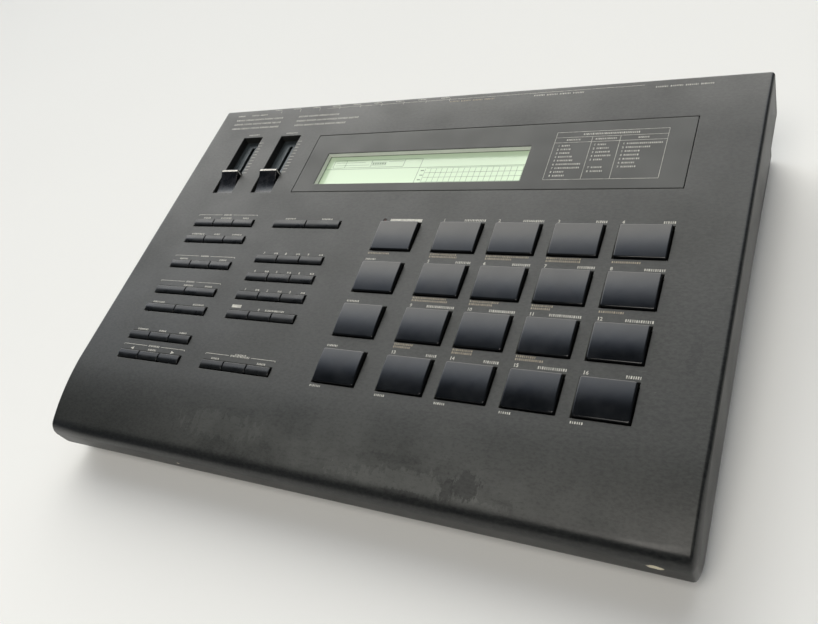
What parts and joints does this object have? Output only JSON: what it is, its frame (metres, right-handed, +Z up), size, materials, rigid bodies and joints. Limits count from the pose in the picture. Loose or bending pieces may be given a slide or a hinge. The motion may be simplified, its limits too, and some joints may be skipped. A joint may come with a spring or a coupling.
{
  "type": "drum machine",
  "caption": "Table-top drum machine: wedge-shaped grey case with a grid of playing pads, rows of keys, two slide faders, a recessed display and rear sockets.",
  "frame": {"origin": "centre of the footprint, on the table under the rubber feet", "axes": "+X to the player's right, along the width; +Y away from the player, towards the sockets; +Z up"},
  "size_m": [0.406, 0.2848, 0.0628],
  "materials": {
    "case_plastic": "fine texture, dark grey",
    "window_plastic": "satin, dark grey",
    "pad_plastic": "semi-gloss, dark grey",
    "key_plastic": "semi-gloss, dark grey",
    "black_plastic": "moulded, black",
    "black_steel": "semi-matt black paint",
    "display_glass": "lit, pale green",
    "circuit_board": "green solder mask",
    "lamp_lens": "tinted, unlit",
    "silicone": "matt grey",
    "nickel_plate": "nickel plated",
    "foot_rubber": "matt black"
  },
  "bodies": {
    "case": {"top_case": "case_plastic", "display_panel": "window_plastic", "lcd_frame": "black_steel", "lcd_cell": "display_glass", "lcd_board": "circuit_board", "run_led": "lamp_lens", "pad_mat": "silicone", "pad_board": "circuit_board", "key_board": "circuit_board", "slide_faders": "black_steel", "main_board": "circuit_board", "jack_board": "circuit_board", "phone_jacks": "black_plastic", "jack_nuts": "nickel_plate", "din_sockets": "black_plastic", "sync_sockets": "black_plastic", "dc_inlet": "black_plastic", "power_switch": "black_plastic", "card_slots": "black_plastic", "rear_panel": "black_steel", "bottom_chassis": "black_steel", "case_screws": "nickel_plate", "feet": "foot_rubber"},
    "pad_1": {"pad_1": "pad_plastic"},
    "pad_2": {"pad_2": "pad_plastic"},
    "pad_3": {"pad_3": "pad_plastic"},
    "pad_4": {"pad_4": "pad_plastic"},
    "pad_5": {"pad_5": "pad_plastic"},
    "pad_6": {"pad_6": "pad_plastic"},
    "pad_7": {"pad_7": "pad_plastic"},
    "pad_8": {"pad_8": "pad_plastic"},
    "pad_9": {"pad_9": "pad_plastic"},
    "pad_10": {"pad_10": "pad_plastic"},
    "pad_11": {"pad_11": "pad_plastic"},
    "pad_12": {"pad_12": "pad_plastic"},
    "pad_13": {"pad_13": "pad_plastic"},
    "pad_14": {"pad_14": "pad_plastic"},
    "pad_15": {"pad_15": "pad_plastic"},
    "pad_16": {"pad_16": "pad_plastic"},
    "function_pad_1": {"function_pad_1": "pad_plastic"},
    "function_pad_2": {"function_pad_2": "pad_plastic"},
    "function_pad_3": {"function_pad_3": "pad_plastic"},
    "function_pad_4": {"function_pad_4": "pad_plastic"},
    "left_keys_1": {"left_keys_1": "key_plastic"},
    "left_keys_2": {"left_keys_2": "key_plastic"},
    "left_keys_3": {"left_keys_3": "key_plastic"},
    "left_keys_4": {"left_keys_4": "key_plastic"},
    "left_keys_5": {"left_keys_5": "key_plastic"},
    "left_keys_6": {"left_keys_6": "key_plastic"},
    "left_keys_7": {"left_keys_7": "key_plastic"},
    "centre_keys_1": {"centre_keys_1": "key_plastic"},
    "centre_keys_2": {"centre_keys_2": "key_plastic"},
    "centre_keys_3": {"centre_keys_3": "key_plastic"},
    "centre_keys_4": {"centre_keys_4": "key_plastic"},
    "centre_keys_5": {"centre_keys_5": "key_plastic"},
    "centre_keys_6": {"centre_keys_6": "key_plastic"},
    "left_fader_knob": {"left_fader_knob": "black_plastic"},
    "right_fader_knob": {"right_fader_knob": "black_plastic"},
    "power_button": {"power_button": "black_plastic"}
  },
  "joints": [
    {"name": "pad_1_press", "type": "slide", "parent": "case", "child": "pad_1", "axis": [0, 0.0767, -0.9971], "range_m": [0, 0.0012], "stiffness_N_per_m": 900, "springref_m": -0.0006},
    {"name": "pad_2_press", "type": "slide", "parent": "case", "child": "pad_2", "axis": [0, 0.0767, -0.9971], "range_m": [0, 0.0012], "stiffness_N_per_m": 900, "springref_m": -0.0006},
    {"name": "pad_3_press", "type": "slide", "parent": "case", "child": "pad_3", "axis": [0, 0.0767, -0.9971], "range_m": [0, 0.0012], "stiffness_N_per_m": 900, "springref_m": -0.0006},
    {"name": "pad_4_press", "type": "slide", "parent": "case", "child": "pad_4", "axis": [0, 0.0767, -0.9971], "range_m": [0, 0.0012], "stiffness_N_per_m": 900, "springref_m": -0.0006},
    {"name": "pad_5_press", "type": "slide", "parent": "case", "child": "pad_5", "axis": [0, 0.0767, -0.9971], "range_m": [0, 0.0012], "stiffness_N_per_m": 900, "springref_m": -0.0006},
    {"name": "pad_6_press", "type": "slide", "parent": "case", "child": "pad_6", "axis": [0, 0.0767, -0.9971], "range_m": [0, 0.0012], "stiffness_N_per_m": 900, "springref_m": -0.0006},
    {"name": "pad_7_press", "type": "slide", "parent": "case", "child": "pad_7", "axis": [0, 0.0767, -0.9971], "range_m": [0, 0.0012], "stiffness_N_per_m": 900, "springref_m": -0.0006},
    {"name": "pad_8_press", "type": "slide", "parent": "case", "child": "pad_8", "axis": [0, 0.0767, -0.9971], "range_m": [0, 0.0012], "stiffness_N_per_m": 900, "springref_m": -0.0006},
    {"name": "pad_9_press", "type": "slide", "parent": "case", "child": "pad_9", "axis": [0, 0.0767, -0.9971], "range_m": [0, 0.0012], "stiffness_N_per_m": 900, "springref_m": -0.0006},
    {"name": "pad_10_press", "type": "slide", "parent": "case", "child": "pad_10", "axis": [0, 0.0767, -0.9971], "range_m": [0, 0.0012], "stiffness_N_per_m": 900, "springref_m": -0.0006},
    {"name": "pad_11_press", "type": "slide", "parent": "case", "child": "pad_11", "axis": [0, 0.0767, -0.9971], "range_m": [0, 0.0012], "stiffness_N_per_m": 900, "springref_m": -0.0006},
    {"name": "pad_12_press", "type": "slide", "parent": "case", "child": "pad_12", "axis": [0, 0.0767, -0.9971], "range_m": [0, 0.0012], "stiffness_N_per_m": 900, "springref_m": -0.0006},
    {"name": "pad_13_press", "type": "slide", "parent": "case", "child": "pad_13", "axis": [0, 0.0767, -0.9971], "range_m": [0, 0.0012], "stiffness_N_per_m": 900, "springref_m": -0.0006},
    {"name": "pad_14_press", "type": "slide", "parent": "case", "child": "pad_14", "axis": [0, 0.0767, -0.9971], "range_m": [0, 0.0012], "stiffness_N_per_m": 900, "springref_m": -0.0006},
    {"name": "pad_15_press", "type": "slide", "parent": "case", "child": "pad_15", "axis": [0, 0.0767, -0.9971], "range_m": [0, 0.0012], "stiffness_N_per_m": 900, "springref_m": -0.0006},
    {"name": "pad_16_press", "type": "slide", "parent": "case", "child": "pad_16", "axis": [0, 0.0767, -0.9971], "range_m": [0, 0.0012], "stiffness_N_per_m": 900, "springref_m": -0.0006},
    {"name": "function_pad_1_press", "type": "slide", "parent": "case", "child": "function_pad_1", "axis": [0, 0.0767, -0.9971], "range_m": [0, 0.0012], "stiffness_N_per_m": 900, "springref_m": -0.0006},
    {"name": "function_pad_2_press", "type": "slide", "parent": "case", "child": "function_pad_2", "axis": [0, 0.0767, -0.9971], "range_m": [0, 0.0012], "stiffness_N_per_m": 900, "springref_m": -0.0006},
    {"name": "function_pad_3_press", "type": "slide", "parent": "case", "child": "function_pad_3", "axis": [0, 0.0767, -0.9971], "range_m": [0, 0.0012], "stiffness_N_per_m": 900, "springref_m": -0.0006},
    {"name": "function_pad_4_press", "type": "slide", "parent": "case", "child": "function_pad_4", "axis": [0, 0.0767, -0.9971], "range_m": [0, 0.0012], "stiffness_N_per_m": 900, "springref_m": -0.0006},
    {"name": "left_keys_1_press", "type": "slide", "parent": "case", "child": "left_keys_1", "axis": [0, 0.0767, -0.9971], "range_m": [0, 0.0008], "stiffness_N_per_m": 900, "springref_m": -0.0006},
    {"name": "left_keys_2_press", "type": "slide", "parent": "case", "child": "left_keys_2", "axis": [0, 0.0767, -0.9971], "range_m": [0, 0.0008], "stiffness_N_per_m": 900, "springref_m": -0.0006},
    {"name": "left_keys_3_press", "type": "slide", "parent": "case", "child": "left_keys_3", "axis": [0, 0.0767, -0.9971], "range_m": [0, 0.0008], "stiffness_N_per_m": 900, "springref_m": -0.0006},
    {"name": "left_keys_4_press", "type": "slide", "parent": "case", "child": "left_keys_4", "axis": [0, 0.0767, -0.9971], "range_m": [0, 0.0008], "stiffness_N_per_m": 900, "springref_m": -0.0006},
    {"name": "left_keys_5_press", "type": "slide", "parent": "case", "child": "left_keys_5", "axis": [0, 0.0767, -0.9971], "range_m": [0, 0.0008], "stiffness_N_per_m": 900, "springref_m": -0.0006},
    {"name": "left_keys_6_press", "type": "slide", "parent": "case", "child": "left_keys_6", "axis": [0, 0.0767, -0.9971], "range_m": [0, 0.0008], "stiffness_N_per_m": 900, "springref_m": -0.0006},
    {"name": "left_keys_7_press", "type": "slide", "parent": "case", "child": "left_keys_7", "axis": [0, 0.0767, -0.9971], "range_m": [0, 0.0008], "stiffness_N_per_m": 900, "springref_m": -0.0006},
    {"name": "centre_keys_1_press", "type": "slide", "parent": "case", "child": "centre_keys_1", "axis": [0, 0.0767, -0.9971], "range_m": [0, 0.0008], "stiffness_N_per_m": 900, "springref_m": -0.0006},
    {"name": "centre_keys_2_press", "type": "slide", "parent": "case", "child": "centre_keys_2", "axis": [0, 0.0767, -0.9971], "range_m": [0, 0.0008], "stiffness_N_per_m": 900, "springref_m": -0.0006},
    {"name": "centre_keys_3_press", "type": "slide", "parent": "case", "child": "centre_keys_3", "axis": [0, 0.0767, -0.9971], "range_m": [0, 0.0008], "stiffness_N_per_m": 900, "springref_m": -0.0006},
    {"name": "centre_keys_4_press", "type": "slide", "parent": "case", "child": "centre_keys_4", "axis": [0, 0.0767, -0.9971], "range_m": [0, 0.0008], "stiffness_N_per_m": 900, "springref_m": -0.0006},
    {"name": "centre_keys_5_press", "type": "slide", "parent": "case", "child": "centre_keys_5", "axis": [0, 0.0767, -0.9971], "range_m": [0, 0.0008], "stiffness_N_per_m": 900, "springref_m": -0.0006},
    {"name": "centre_keys_6_press", "type": "slide", "parent": "case", "child": "centre_keys_6", "axis": [0, 0.0767, -0.9971], "range_m": [0, 0.0008], "stiffness_N_per_m": 900, "springref_m": -0.0006},
    {"name": "left_fader_slide", "type": "slide", "parent": "case", "child": "left_fader_knob", "axis": [0, 0.9971, 0.0767], "range_m": [0, 0.03]},
    {"name": "right_fader_slide", "type": "slide", "parent": "case", "child": "right_fader_knob", "axis": [0, 0.9971, 0.0767], "range_m": [0, 0.03]},
    {"name": "power_button_press", "type": "slide", "parent": "case", "child": "power_button", "axis": [0, -1, 0], "range_m": [0, 0.003], "stiffness_N_per_m": 800, "springref_m": -0.001}
  ]
}
